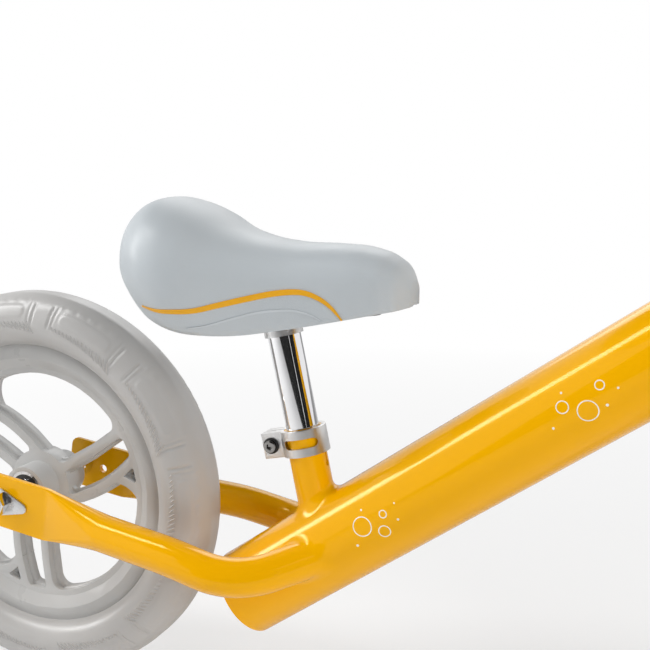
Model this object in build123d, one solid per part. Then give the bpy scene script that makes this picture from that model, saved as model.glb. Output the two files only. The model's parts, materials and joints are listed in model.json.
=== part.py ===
from build123d import *
from math import atan2, cos, degrees, pi, radians, sin, tan
import os

# Balance bike: +X forward, +Y to the rider's left, +Z up, millimetres.
# The origin is on the ground, midway between the two axles.

# Wheels
wheelbase = 625.0
wheel_radius = 145.5
tyre_half_width = 24.0
tyre_tread_flat = 12.0            # flat band round the crown of the tyre
tyre_bulge_radius = 121.3         # radius at which the tyre is widest
tyre_shoulder_rise = 5.2          # how far the shoulder's arc stands out from halfway
tyre_shoulder_share = 0.73        # of the half width, there
tyre_flank_rise = 4.6             # the same for the arc between the rim and the widest line
tyre_flank_share = 0.815
rim_lip_radius = 107.0            # where tyre and rim meet on the side
rim_bed_depth = 3.0
rim_bed_taper = 1.9
rim_lip_half_width = 10.9
rim_shoulder_radius = 97.0
rim_shoulder_half_width = 12.8
rim_step_radius = 90.5
rim_step_half_width = 8.0
rim_inner_radius = 83.8
rim_inner_half_width = 2.5
rim_overlap = 8.0                 # how far the bars run into the rim's ring
spoke_pairs = 3
inner_bar_angles = (38.5, 31.4, 33.8)     # degrees at the hub, halfway and at the rim
outer_bar_angles = (-50.6, 3.1, 20.3)
branch_angles = (9.4, 6.4, -8.5)          # from the outer bar, halfway and at the rim
branch_start = 64.5               # radius at which the branch leaves the outer bar
spoke_width = 6.5
spoke_half_depth = 7.0
spoke_flange_width = 10.5
spoke_flange_half_depth = 2.0
window_corner = 9.0
window_corner_reach = 2.0         # a corner this near the rim or the hub is rounded
small_window_corner = 4.0         # in the slot between two bars
small_window_area = 1500.0        # square millimetres, under which a window is small
gusset_window_corner = 1.5        # in the gap between a bar and its branch
gusset_window_area = 200.0
bar_ease = 1.2                    # how far the bars' roundings run into the rim and the hub
flange_ease = 0.6
hub_half_length = 25.0
hub_radius = 17.2
hub_spider_radius = 25.5

# Wheel bearings, axle and what it carries
bearing_outer_radius = 14.0
bearing_width = 8.0
bearing_recess = 0.5
bearing_outer_ring_wall = 2.3
bearing_inner_ring_wall = 2.2
bearing_ball_count = 8
bearing_ball_gap = 0.06
bearing_step = 2.0                # the hub's bore is this much smaller than the bearing
seal_thickness = 0.8
seal_recess = 0.2
running_gap = 0.15
axle_radius = 6.0
axle_nut_flats = 16.0
axle_nut_height = 7.0
axle_dome_radius = 7.2
axle_end_inset = 1.0              # the axle stops short of the nut's face
nut_corner_rise = 1.2
nut_corner_flare = 3.2
nut_corner_cut = 1.6
cone_nut_radius = 9.0
cone_nose_length = 2.0
cone_nose_step = 0.4              # the nose is this much smaller than the bearing's inner ring
spacer_wall = 1.5
washer_radius = 10.0
washer_thickness = 1.6
tab_hole_radius = 3.25
tab_hole_distance = 19.0
tab_radius = 3.9
tab_gap = 0.1

# Flattened tube ends that hold the axles
dropout_outer_face = 51.7
dropout_thickness = 4.0
dropout_width = 38.5
dropout_back = 12.0               # from the axle to the rounded end
dropout_length = 38.0             # from the axle to the crease
dropout_corner = 5.0
dropout_blend = 36.0              # crease to fully round tube
dropout_blend_overlap = 8.0       # the blend starts inside the plate
dropout_blend_skin = 0.1          # and just under its faces
dropout_edge_inset = 0.6
crease_reach_share = 0.4          # of the blend, where the crease opens out
crease_thick_share = 0.62         # of the tube's radius, there
crease_high_share = 1.33
dropout_fall = 8.5                # degrees that the rear dropouts fall forwards

# Frame tubes
stay_radius = 12.7
stay_wall = 1.6
stay_route = ((140.0, 57.5, -18.0), (190.0, 60.0, -29.0), (246.0, 6.0, -14.0))
stay_bends = (150.0, 60.0)        # the route is forwards, outwards and up from the rear axle
main_tube_radius = 30.0
main_tube_wall = 2.0
main_tube_slope = 35.06           # degrees
main_tube_reach = 256.4           # from the rear axle to where its axis is level with it
main_tube_overhang = 69.5         # from the seat tube's axis to the lower end
main_tube_taper = 112.0           # length over which its front end narrows to the head tube
main_tube_end_step = 0.5          # and ends this much smaller than it
end_cap_thickness = 3.0
end_cap_dome = 7.0
weld_size = 3.0
seat_tube_radius = 13.0
seat_tube_lean = 11.9             # degrees back from upright
seat_tube_height = 208.0          # its top above the ground
seat_tube_foot = 126.5            # its axis meets the main tube's at this height
relief_slot_width = 2.5
relief_slot_length = 26.0
relief_hole_radius = 2.2

# Clamps round the seat tube and the steerer
clamp_height = 17.5
clamp_wall = 2.8
clamp_ear_reach = 28.0
clamp_ear_width = 16.0
clamp_slit = 2.0
clamp_window_length = 14.0
clamp_window_height = 6.0
clamp_window_forward = 2.0
clamp_bolt_radius = 2.5
clamp_bolt_socket_radius = 2.3
clamp_bolt_socket_depth = 2.2
clamp_nut_radius = 4.6
clamp_nut_height = 4.0
clamp_bolt_head_radius = 4.2
clamp_bolt_head_height = 3.0
clamp_bolt_setback = 6.0          # bolt axis in from the ears' ends

# Seat post and saddle
post_radius = 11.1
post_gap = 0.05
post_wall = 1.5
post_bottom = 85.0                # how far it reaches below the seat tube's mark
saddle_rear = 87.0                # from the rear axle
saddle_height = 275.5             # lower edge above the ground where it is lowest
saddle_base_rise = 4.94           # degrees that the base rises forwards
saddle_base_height = 3.0          # its top above the lowest edge, at the saddle's rear
saddle_base_thickness = 5.0
saddle_base_inset = 8.0           # in from the lower edge
saddle_base_start = 50.0          # from the saddle's rear
saddle_base_end = 184.0
saddle_base_rear_half = 35.0      # half its width at each end
saddle_base_front_half = 16.0
bracket_thickness = 3.0
bracket_length = 62.0
bracket_width = 44.0
bracket_socket_wall = 2.0
bracket_socket_depth = 9.0
saddle_screw_radius = 2.5
saddle_screw_length = 4.0
saddle_screw_head = 2.2
saddle_screw_head_share = 1.9     # head radius over shank radius
saddle_screw_inset = 8.0
bracket_corner = 6.0
post_top_gap = 1.0                # the post stops short of the bracket's plate

# Steering
head_angle = 72.0                 # degrees
fork_rake = 15.0
head_tube_radius = 19.0
head_tube_wall = 2.0
head_tube_bottom = 172.0          # along the steering axis from the axle's foot
head_tube_length = 80.0
steerer_radius = 13.0
steerer_wall = 1.85
headset_cup_radius = 20.8
headset_cup_height = 5.6
headset_spigot = 8.0
headset_ball_radius = 1.75
headset_ball_count = 16
headset_ball_offset = 3.2         # from the steerer's wall to the balls' centres
headset_ball_gap = 0.05
headset_pocket_offset = 5.4
headset_bore_gap = 0.4
headset_gap = 0.2                 # between a cup and what turns on it
race_flange = 5.0
crown_race_height = 3.2
headset_cone_height = 3.4
locknut_flats = 32.0
locknut_height = 6.0
crown_thickness = 12.0
crown_half_length = 15.0
crown_corner = 6.0
crown_end_share = 0.4             # of a leg's radius, that the crown stops short of its axis
leg_plug_dome = 4.0
stem_clamp_gap = 1.5              # between the locknut and the stem's clamp
leg_spread = 42.0                 # fork leg axis from the middle, at the crown
stem_radius = 11.1
stem_wall = 1.6
stem_insert = 80.0                # reach of the stem below the steerer's top
stem_end_share = 0.2              # of the bar's radius, that the stem stops under its axis
bar_height = 425.0                # along the steering axis from the axle's foot
bar_radius = 11.1
bar_wall = 1.6
bar_half_width = 200.0
bar_straight = 62.0
bar_sweep = 26.0
bar_bend = 60.0
grip_radius = 15.5
grip_length = 98.0
grip_knob_radius = 21.0
grip_knob_width = 9.0
grip_end_wall = 3.0
grip_flange_width = 3.0
grip_flange_height = 2.5

# Stations of the saddle, each with its distance from the rear end, half width, height of the top,
# of the widest line and of the lower edge, and the share of the width that the lower edge keeps
saddle_stations = [
    (0, 6, 50, 43, 36, 0.80), (3, 22, 62, 43, 30, 0.72), (9, 36, 72, 42, 24, 0.70),
    (18, 48, 80.5, 42, 17, 0.70), (31, 59, 85.3, 42, 10, 0.74), (46, 64, 83, 40, 4.5, 0.79),
    (61, 63, 77, 37, 1, 0.84), (78, 57, 67.5, 33, -0.5, 0.88), (98, 49.5, 61, 30, 0, 0.92),
    (126, 41, 57, 30, 4, 0.95), (153, 35.5, 56.5, 32, 9, 0.96), (175, 31, 54.5, 33, 13.5, 0.97),
    (189, 26.5, 49.5, 32, 16.3, 0.97), (197, 20.5, 43, 30, 17.7, 0.97), (202, 11, 34, 27, 18.8, 0.97),
]

# Derived places
rear_axle = Vector(-wheelbase / 2, 0, wheel_radius)
front_axle = Vector(wheelbase / 2, 0, wheel_radius)
slope = radians(main_tube_slope)
main_axis = Vector(cos(slope), 0, sin(slope))
lean = radians(seat_tube_lean)
seat_up = Vector(-sin(lean), 0, cos(lean))
seat_forward = Vector(cos(lean), 0, sin(lean))
main_foot_x = rear_axle.X + main_tube_reach + (seat_tube_foot - wheel_radius) / tan(slope)
seat_foot = Vector(main_foot_x, 0, seat_tube_foot)
seat_tube_rise = (seat_tube_height - seat_tube_foot) / cos(lean)
tilt = radians(head_angle)
steer_up = Vector(-cos(tilt), 0, sin(tilt))
steer_forward = Vector(sin(tilt), 0, cos(tilt))
steer_foot = front_axle - steer_forward * fork_rake
dropout_middle = dropout_outer_face - dropout_thickness / 2
head_tube_top = head_tube_bottom + head_tube_length
crown_top = head_tube_bottom - headset_cup_height - headset_gap - crown_race_height
crown_bottom = crown_top - crown_thickness
cone_bottom = head_tube_top + headset_cup_height + headset_gap
locknut_top = cone_bottom + headset_cone_height + locknut_height
steerer_top = locknut_top + stem_clamp_gap + clamp_height
across_corners = 1 / cos(radians(30))

parts = {}


def rod(start, direction, radius, length):
    """A solid cylinder from a point along a direction."""
    plane = Plane(origin=start, z_dir=direction)
    return extrude(plane * Circle(radius), amount=length)


def sleeve(start, direction, outer, inner, length):
    """A tube from a point along a direction."""
    plane = Plane(origin=start, z_dir=direction)
    return extrude(plane * (Circle(outer) - Circle(inner)), amount=length)


def along_seat(height, forward=0.0):
    """A point at a height along the seat tube's axis from its foot, and forward of it."""
    return seat_foot + seat_up * height + seat_forward * forward


def along_steering(height, forward=0.0):
    """A point at a height along the steering axis from the axle's foot, and forward of it."""
    return steer_foot + steer_up * height + steer_forward * forward


def solids_of(*shapes):
    """Several separate solids kept as one node."""
    return Compound(children=[solid for shape in shapes for solid in shape.solids()])


# ---------------------------------------------------------------- wheels

def turned(points):
    """Revolve a closed outline of (radius, width) points about the axle's line, Y."""
    outline = Polyline(*[(radius, width) for radius, width in points], close=True)
    return revolve(make_face(outline), axis=Axis.Y)


def tyre():
    """Solid foam tyre: round section, flat crown, seated in the rim's bed."""
    bed = rim_lip_radius - rim_bed_depth
    flat = tyre_tread_flat / 2
    high = ((wheel_radius + tyre_bulge_radius) / 2 + tyre_shoulder_rise,
            tyre_half_width * tyre_shoulder_share)
    low = (rim_lip_radius + tyre_flank_rise, tyre_half_width * tyre_flank_share)
    side = Line((bed, 0), (bed, rim_lip_half_width - rim_bed_taper))
    side += Line((bed, rim_lip_half_width - rim_bed_taper), (rim_lip_radius, rim_lip_half_width))
    side += ThreePointArc((rim_lip_radius, rim_lip_half_width), low,
                          (tyre_bulge_radius, tyre_half_width))
    side += ThreePointArc((tyre_bulge_radius, tyre_half_width), high, (wheel_radius, flat))
    side += Line((wheel_radius, flat), (wheel_radius, 0))
    side += Line((wheel_radius, 0), (bed, 0))
    half = revolve(make_face(side), axis=Axis.Y)
    return half + mirror(half, about=Plane.XZ)


def rim_ring():
    bed = rim_lip_radius - rim_bed_depth
    half = [
        (bed, 0), (bed, rim_lip_half_width - rim_bed_taper), (rim_lip_radius, rim_lip_half_width),
        (rim_shoulder_radius, rim_shoulder_half_width), (rim_step_radius, rim_step_half_width),
        (rim_inner_radius, rim_inner_half_width),
    ]
    other = [(radius, -width) for radius, width in reversed(half[1:])]
    return turned(half + other)


def wheel_point(radius, angle):
    """A point in the wheel's plane, forwards and up from the axle."""
    return (radius * cos(radians(angle)), radius * sin(radians(angle)))


def spoke_arc(start, angles):
    """Arc from a radius out into the rim's ring, through a point halfway."""
    end = rim_inner_radius + rim_overlap
    radii = (start, (start + end) / 2, end)
    return ThreePointArc(*[wheel_point(radius, angle) for radius, angle in zip(radii, angles)])


def bar_outlines(width):
    """All the bars' outlines at one width: two from the hub and a branch, in each third."""
    arcs = [spoke_arc(hub_radius, inner_bar_angles), spoke_arc(hub_radius, outer_bar_angles),
            spoke_arc(branch_start, branch_angles)]
    bars = trace(arcs[0], width) + trace(arcs[1], width) + trace(arcs[2], width)
    outlines = bars
    for turn in range(1, spoke_pairs):
        outlines += Rot(0, 0, -turn * 360 / spoke_pairs) * bars
    return outlines


def round_corners(window, ease):
    """A window's corners at the rim and at the hub's disc, which are rounded."""
    return [corner for corner in window.vertices()
            if Vector(corner).length > rim_inner_radius + ease - window_corner_reach
            or Vector(corner).length < hub_spider_radius - ease + window_corner_reach]


def web(width, half_depth, ease):
    """The bars, the hub's disc and what joins them to the rim, with rounded windows.

    The roundings end just inside the rim and the disc, so that they meet them at an angle."""
    open_area = Circle(rim_inner_radius + ease) - bar_outlines(width)
    open_area -= Circle(hub_spider_radius - ease)
    outline = Circle(rim_inner_radius + rim_overlap)
    for face in open_area.faces():
        window = make_face(face.outer_wire())
        corner = small_window_corner if face.area < small_window_area else window_corner
        if face.area < gusset_window_area:
            corner = gusset_window_corner
        outline -= fillet(round_corners(window, ease), corner)
    outline += Circle(hub_spider_radius)
    return extrude(Plane.XZ * outline, amount=half_depth, both=True)


def rim():
    """Moulded wheel: rim ring, three pairs of bars and the hub with its bearing seats."""
    body = rim_ring() + rod((0, -hub_half_length, 0), (0, 1, 0), hub_radius, 2 * hub_half_length)
    body += web(spoke_width, spoke_half_depth, bar_ease)
    body += web(spoke_flange_width, spoke_flange_half_depth, flange_ease)
    seat_depth = bearing_width + bearing_recess
    bore = rod((0, -hub_half_length, 0), (0, 1, 0), bearing_outer_radius - bearing_step,
               2 * hub_half_length)
    bore += rod((0, -hub_half_length, 0), (0, 1, 0), bearing_outer_radius, seat_depth)
    bore += rod((0, hub_half_length, 0), (0, -1, 0), bearing_outer_radius, seat_depth)
    return body - bore


def bearing_rings(outer, inner, width):
    """The same ring in both bearings, centred in the bearing's width."""
    middle = hub_half_length - bearing_recess - bearing_width / 2
    rings = [sleeve((0, side * middle - width / 2, 0), (0, 1, 0), outer, inner, width)
             for side in (-1, 1)]
    return solids_of(*rings)


def bearing_balls():
    bore = bearing_outer_radius - bearing_outer_ring_wall
    land = axle_radius + bearing_inner_ring_wall
    radius = (bore - land) / 2 - bearing_ball_gap
    pitch = (bore + land) / 2
    middle = hub_half_length - bearing_recess - bearing_width / 2
    balls = []
    for side in (-1, 1):
        for number in range(bearing_ball_count):
            angle = 2 * pi * number / bearing_ball_count
            balls.append(Pos(pitch * cos(angle), side * middle, pitch * sin(angle)) * Sphere(radius))
    return solids_of(*balls)


def bearing_seals():
    bore = bearing_outer_radius - bearing_outer_ring_wall
    land = axle_radius + bearing_inner_ring_wall + running_gap
    start = hub_half_length - bearing_recess - seal_recess - seal_thickness
    seals = [sleeve((0, side * start, 0), (0, side, 0), bore, land, seal_thickness)
             for side in (-1, 1)]
    return solids_of(*seals)


def wheel_parts(end, axle):
    """The pieces that turn with one wheel."""
    place = Pos(*axle)
    bore = bearing_outer_radius - bearing_outer_ring_wall
    parts[f"{end}_tyre"] = place * tyre()
    parts[f"{end}_rim"] = place * rim()
    parts[f"{end}_bearing_outer_rings"] = place * bearing_rings(bearing_outer_radius, bore,
                                                                bearing_width)
    parts[f"{end}_bearing_balls"] = place * bearing_balls()
    parts[f"{end}_bearing_seals"] = place * bearing_seals()


# ---------------------------------------------------------------- axles

def both_sides(shape_for):
    return solids_of(shape_for(-1), shape_for(1))


def cone_nut(side):
    """Spacer nut between the bearing's inner ring and the dropout, with a narrow nose."""
    start = hub_half_length - bearing_recess
    nose = axle_radius + bearing_inner_ring_wall - cone_nose_step
    length = dropout_outer_face - dropout_thickness - start
    shape = rod((0, side * start, 0), (0, side, 0), nose, length)
    body_start = start + cone_nose_length
    shape += rod((0, side * body_start, 0), (0, side, 0), cone_nut_radius,
                 length - cone_nose_length)
    return shape - rod((0, side * start, 0), (0, side, 0), axle_radius, length)


def axle_washer(side, fall):
    """Round washer; the right one is a teardrop with its tail bent into the locating hole."""
    plane = Plane(origin=(0, side * dropout_outer_face, 0), x_dir=(1, 0, 0), z_dir=(0, side, 0))
    outline = Circle(washer_radius)
    if side < 0:
        tail = Pos(tab_hole_distance, 0) * Circle(tab_radius)
        outline = make_hull((outline + tail).edges())
    shape = extrude(plane * outline, amount=washer_thickness)
    if side < 0:
        shape += rod((tab_hole_distance, side * dropout_middle, 0), (0, side, 0),
                     tab_hole_radius - tab_gap, dropout_thickness / 2)
    shape -= rod((0, side * dropout_middle, 0), (0, side, 0), axle_radius, dropout_thickness)
    return Rot(0, fall, 0) * shape


def axle_nut(side):
    """Hexagon nut with a domed cap over the axle's end."""
    start = dropout_outer_face + washer_thickness
    plane = Plane(origin=(0, side * start, 0), x_dir=(1, 0, 0), z_dir=(0, side, 0))
    hexagon = RegularPolygon(axle_nut_flats / 2 * across_corners, 6)
    shape = extrude(plane * hexagon, amount=axle_nut_height)
    shape = chamfer_corners(shape, side, start)
    dome = Pos(0, side * (start + axle_nut_height), 0) * Sphere(axle_dome_radius)
    keep = rod((0, side * start, 0), (0, side, 0), axle_nut_flats, axle_nut_height + axle_dome_radius)
    shape += dome & keep
    return shape - rod((0, side * start, 0), (0, side, 0), axle_radius,
                       axle_nut_height - axle_end_inset)


def chamfer_corners(shape, side, start):
    """Turn the hexagon's outer corners down to a cone."""
    plane = Plane(origin=(0, side * start, 0), x_dir=(1, 0, 0), z_dir=(0, side, 0))
    corner = axle_nut_flats / 2 * across_corners
    cone = Cone(corner + nut_corner_flare, corner - nut_corner_cut,
                axle_nut_height + 2 * nut_corner_rise)
    return shape & (plane * Pos(0, 0, axle_nut_height / 2 + nut_corner_rise) * cone)


def axle_parts(end, axle, fall):
    """The axle and what is clamped on it, which do not turn with the wheel."""
    place = Pos(*axle)
    land = axle_radius + bearing_inner_ring_wall
    half = dropout_outer_face + washer_thickness + axle_nut_height - axle_end_inset
    bearing_inside = hub_half_length - bearing_recess - bearing_width
    parts[f"{end}_axle"] = place * rod((0, -half, 0), (0, 1, 0), axle_radius, 2 * half)
    parts[f"{end}_bearing_inner_rings"] = place * bearing_rings(land, axle_radius, bearing_width)
    parts[f"{end}_hub_spacer"] = place * sleeve((0, -bearing_inside, 0), (0, 1, 0),
                                                axle_radius + spacer_wall, axle_radius,
                                                2 * bearing_inside)
    parts[f"{end}_cone_nuts"] = place * both_sides(cone_nut)
    parts[f"{end}_axle_washers"] = place * both_sides(lambda side: axle_washer(side, fall))
    parts[f"{end}_axle_nuts"] = place * both_sides(axle_nut)


# ---------------------------------------------------------------- tubes with flattened ends

def flattened_end(side, axle, fall):
    """Plate round the axle and the blend from it to the round tube, along +X before it is turned."""
    plane = Plane(origin=(0, side * dropout_middle, 0), x_dir=(1, 0, 0), z_dir=(0, -1, 0))
    length = dropout_back + dropout_length
    outline = Pos(dropout_length - length / 2, 0) * RectangleRounded(length, dropout_width,
                                                                     dropout_corner)
    plate = extrude(plane * outline, amount=dropout_thickness / 2, both=True)
    sections = []
    for reach, half_thick, half_high in (
            (dropout_length - dropout_blend_overlap, dropout_thickness / 2 - dropout_blend_skin,
             dropout_width / 2 - dropout_edge_inset),
            (dropout_length + dropout_blend * crease_reach_share,
             stay_radius * crease_thick_share, stay_radius * crease_high_share),
            (dropout_length + dropout_blend, stay_radius, stay_radius)):
        station = Plane(origin=(reach, side * dropout_middle, 0), x_dir=(0, 1, 0), z_dir=(1, 0, 0))
        sections.append(station * Ellipse(half_thick, half_high))
    shape = plate + loft(sections)
    shape -= rod((0, side * dropout_outer_face, 0), (0, -side, 0), axle_radius, dropout_thickness)
    shape -= rod((tab_hole_distance, side * dropout_outer_face, 0), (0, -side, 0),
                 tab_hole_radius, dropout_thickness)
    return Pos(*axle) * Rot(0, fall, 0) * shape


def swept_tube(points, bends, outer, wall):
    path = FilletPolyline(*points, radius=list(bends))
    start = Plane(origin=path @ 0, z_dir=path % 0)
    return sweep(start * (Circle(outer) - Circle(outer - wall)), path=path)


def tube_start(side, axle, fall):
    """Where the round tube begins beyond the flattened end."""
    reach = dropout_length + dropout_blend
    turn = radians(fall)
    return Vector(axle.X + reach * cos(turn), side * dropout_middle, axle.Z - reach * sin(turn))


def stay(side):
    """Tube flattened at the axle, bent inwards and coped onto the main tube's side."""
    points = [tube_start(side, rear_axle, dropout_fall)]
    points += [rear_axle + Vector(forward, side * out, up) for forward, out, up in stay_route]
    tube = swept_tube(points, stay_bends, stay_radius, stay_wall)
    shape = flattened_end(side, rear_axle, dropout_fall) + tube
    return shape - main_tube_blank()


# ---------------------------------------------------------------- frame

def main_tube_start():
    return seat_foot - main_axis * main_tube_overhang


def main_tube_end():
    """Just past the steering axis, so that the head tube's wall cuts it."""
    gap = steer_foot - seat_foot
    across = gap.dot(steer_forward) / main_axis.dot(steer_forward)
    return seat_foot + main_axis * across


def main_tube_blank(grow=0.0):
    """Solid round tube whose front end narrows to just under the head tube's width."""
    straight = (main_tube_end() - main_tube_start()).length - main_tube_taper
    end_radius = head_tube_radius - main_tube_end_step
    outline = Polyline((0, 0), (main_tube_radius + grow, 0), (main_tube_radius + grow, straight),
                       (end_radius + grow, straight + main_tube_taper),
                       (0, straight + main_tube_taper), close=True)
    blank = revolve(Plane.XZ * make_face(outline), axis=Axis.Z)
    return Plane(origin=main_tube_start(), z_dir=main_axis) * blank


def main_tube():
    shape = main_tube_blank() - main_tube_blank(-main_tube_wall)
    shape -= rod(along_steering(head_tube_bottom), steer_up, head_tube_radius, head_tube_length)
    return shape - rod(seat_foot, seat_up, seat_tube_radius - clamp_tube_wall(), seat_tube_rise)


def clamp_tube_wall():
    """Wall that leaves the seat post its running gap."""
    return seat_tube_radius - post_radius - post_gap


def main_tube_cap():
    """Domed plug welded over the main tube's lower end."""
    start = main_tube_start()
    plug = rod(start, -main_axis, main_tube_radius, end_cap_thickness)
    dome_radius = (main_tube_radius ** 2 + end_cap_dome ** 2) / (2 * end_cap_dome)
    centre = start - main_axis * (end_cap_thickness + end_cap_dome - dome_radius)
    slab = rod(start - main_axis * end_cap_thickness, -main_axis, main_tube_radius, end_cap_dome)
    return plug + (Pos(*centre) * Sphere(dome_radius) & slab)


def relief_slot(top, up, forward):
    """Slot down one side of a clamped tube, with a round end that stops it splitting."""
    foot = top - up * relief_slot_length
    plane = Plane(origin=foot, x_dir=(0, 1, 0), z_dir=forward)
    width = relief_slot_width / 2
    slot = plane * Pos(0, relief_slot_length / 2) * Rectangle(2 * width, relief_slot_length)
    reach = 2 * seat_tube_radius
    return extrude(slot, amount=reach) + rod(foot, forward, relief_hole_radius, reach)


def seat_tube():
    shape = sleeve(seat_foot, seat_up, seat_tube_radius, seat_tube_radius - clamp_tube_wall(),
                   seat_tube_rise)
    shape -= main_tube_blank()
    return shape - relief_slot(along_seat(seat_tube_rise), seat_up, seat_forward)


def head_tube():
    return sleeve(along_steering(head_tube_bottom), steer_up, head_tube_radius,
                  head_tube_radius - head_tube_wall, head_tube_length)


def weld_collar(start, direction, radius, length):
    """Bead round a tube where it meets the main tube."""
    bead = rod(start, direction, radius + weld_size, length) & main_tube_blank(weld_size)
    return bead - rod(start, direction, radius, length) - main_tube_blank()


def frame_welds():
    seat_bead = weld_collar(seat_foot, seat_up, seat_tube_radius, seat_tube_rise)
    head_foot = along_steering(head_tube_bottom)
    head_blank = rod(head_foot, steer_up, head_tube_radius, head_tube_length)
    head_bead = rod(head_foot, steer_up, head_tube_radius + weld_size, head_tube_length)
    head_bead = (head_bead & main_tube_blank(weld_size)) - main_tube_blank() - head_blank
    return solids_of(seat_bead, head_bead)


def clamp(top, up, forward):
    """Split ring with two ears, a window in each side and a cross bolt's hole."""
    foot = top - up * clamp_height
    outer = seat_tube_radius + clamp_wall
    shape = rod(foot, up, outer, clamp_height)
    ear_plane = Plane(origin=foot, x_dir=forward, z_dir=up)
    ears = ear_plane * Pos(-clamp_ear_reach / 2, 0) * Rectangle(clamp_ear_reach, clamp_ear_width)
    shape += extrude(ears, amount=clamp_height)
    shape -= rod(foot, up, seat_tube_radius, clamp_height)
    slit = ear_plane * Pos(-clamp_ear_reach / 2, 0) * Rectangle(clamp_ear_reach, clamp_slit)
    shape -= extrude(slit, amount=clamp_height)
    window_plane = Plane(origin=foot + up * (clamp_height / 2), x_dir=forward,
                         z_dir=forward.cross(up))
    window = SlotOverall(clamp_window_length, clamp_window_height)
    window = window_plane * Pos(clamp_window_forward, 0) * window
    shape -= extrude(window, amount=outer, both=True)
    bolt = clamp_bolt_place(foot, up, forward)
    return shape - rod(bolt - Vector(0, clamp_ear_width, 0), (0, 1, 0), clamp_bolt_radius,
                       2 * clamp_ear_width)


def clamp_bolt_place(foot, up, forward):
    return foot + up * (clamp_height / 2) - forward * (clamp_ear_reach - clamp_bolt_setback)


def clamp_bolt(top, up, forward):
    """Socket-head bolt that reaches through both ears and the nut on the far one."""
    middle = clamp_bolt_place(top - up * clamp_height, up, forward)
    half = clamp_ear_width / 2
    head = middle - Vector(0, half, 0)
    shape = rod(head, (0, 1, 0), clamp_bolt_radius, clamp_ear_width + clamp_nut_height + 1)
    shape += rod(head, (0, -1, 0), clamp_bolt_head_radius, clamp_bolt_head_height)
    socket = Plane(origin=head - Vector(0, clamp_bolt_head_height, 0), z_dir=(0, 1, 0))
    return shape - extrude(socket * RegularPolygon(clamp_bolt_socket_radius, 6),
                           amount=clamp_bolt_socket_depth)


def clamp_nut(top, up, forward):
    middle = clamp_bolt_place(top - up * clamp_height, up, forward)
    plane = Plane(origin=middle + Vector(0, clamp_ear_width / 2, 0), z_dir=(0, 1, 0))
    outline = RegularPolygon(clamp_nut_radius, 6) - Circle(clamp_bolt_radius)
    return extrude(plane * outline, amount=clamp_nut_height)


def headset_cup(face, direction):
    """Cup pressed into the head tube, with a pocket for the balls on its outer side."""
    spigot_outer = head_tube_radius - head_tube_wall
    bore = steerer_radius + headset_bore_gap
    shape = rod(face, direction, headset_cup_radius, headset_cup_height)
    shape += rod(face, -direction, spigot_outer, headset_spigot)
    shape -= rod(face - direction * headset_spigot, direction, bore,
                 headset_spigot + headset_cup_height)
    pocket_depth = 2 * (headset_ball_radius + headset_ball_gap)
    return shape - rod(face + direction * headset_cup_height, -direction,
                       steerer_radius + headset_pocket_offset, pocket_depth)


def headset_balls(face, direction):
    depth = headset_ball_radius + headset_ball_gap
    centre = face + direction * (headset_cup_height - depth)
    pitch = steerer_radius + headset_ball_offset
    ring = Plane(origin=centre, z_dir=direction)
    balls = []
    for number in range(headset_ball_count):
        angle = 2 * pi * number / headset_ball_count
        place = ring.from_local_coords((pitch * cos(angle), pitch * sin(angle), 0))
        balls.append(Pos(*place) * Sphere(headset_ball_radius))
    return solids_of(*balls)


def frame_parts():
    top = along_seat(seat_tube_rise)
    parts["main_tube"] = main_tube()
    parts["main_tube_cap"] = main_tube_cap()
    parts["head_tube"] = head_tube()
    parts["seat_tube"] = seat_tube()
    parts["right_stay"] = stay(-1)
    parts["left_stay"] = stay(1)
    parts["frame_welds"] = frame_welds()
    parts["lower_headset_cup"] = headset_cup(along_steering(head_tube_bottom), -steer_up)
    parts["upper_headset_cup"] = headset_cup(along_steering(head_tube_top), steer_up)
    parts["seat_clamp"] = clamp(top, seat_up, seat_forward)
    parts["seat_clamp_bolt"] = clamp_bolt(top, seat_up, seat_forward)
    parts["seat_clamp_nut"] = clamp_nut(top, seat_up, seat_forward)
    axle_parts("rear", rear_axle, dropout_fall)


# ---------------------------------------------------------------- fork and handlebar

def leg_fall():
    """Turn that points a fork leg's flattened end from the axle up to the crown."""
    gap = along_steering(crown_top - crown_thickness / 2) - front_axle
    return -degrees(atan2(gap.Z, gap.X))


def fork_leg(side):
    fall = leg_fall()
    start = tube_start(side, front_axle, fall)
    top = along_steering(crown_top) + Vector(0, side * leg_spread, 0)
    tube = swept_tube([start, start + (top - start) * 0.5, top], [0], stay_radius, stay_wall)
    return flattened_end(side, front_axle, fall) + tube


def fork_crown():
    """Bridge over the tyre that joins the steerer to both legs."""
    plane = Plane(origin=along_steering(crown_bottom), x_dir=(0, 1, 0), z_dir=steer_up)
    length = 2 * (leg_spread - stay_radius * crown_end_share)
    shape = extrude(plane * RectangleRounded(length, 2 * crown_half_length, crown_corner),
                    amount=crown_thickness)
    shape -= rod(along_steering(crown_bottom), steer_up, steerer_radius, crown_thickness)
    for side in (-1, 1):
        top = along_steering(crown_top) + Vector(0, side * leg_spread, 0)
        start = tube_start(side, front_axle, leg_fall())
        axis = (top - start).normalized()
        shape -= rod(start, axis, stay_radius, (top - start).length + crown_thickness)
    return shape


def leg_plug(side):
    """Cap that closes a fork leg's upper end."""
    start = tube_start(side, front_axle, leg_fall())
    top = along_steering(crown_top) + Vector(0, side * leg_spread, 0)
    axis = (top - start).normalized()
    radius = (stay_radius ** 2 + leg_plug_dome ** 2) / (2 * leg_plug_dome)
    ball = Pos(*(top - axis * (radius - leg_plug_dome))) * Sphere(radius)
    return ball & rod(top, axis, stay_radius, 2 * leg_plug_dome)


def steerer():
    shape = sleeve(along_steering(crown_bottom), steer_up, steerer_radius,
                   steerer_radius - steerer_wall, steerer_top - crown_bottom)
    return shape - relief_slot(along_steering(steerer_top), steer_up, steer_forward)


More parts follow.
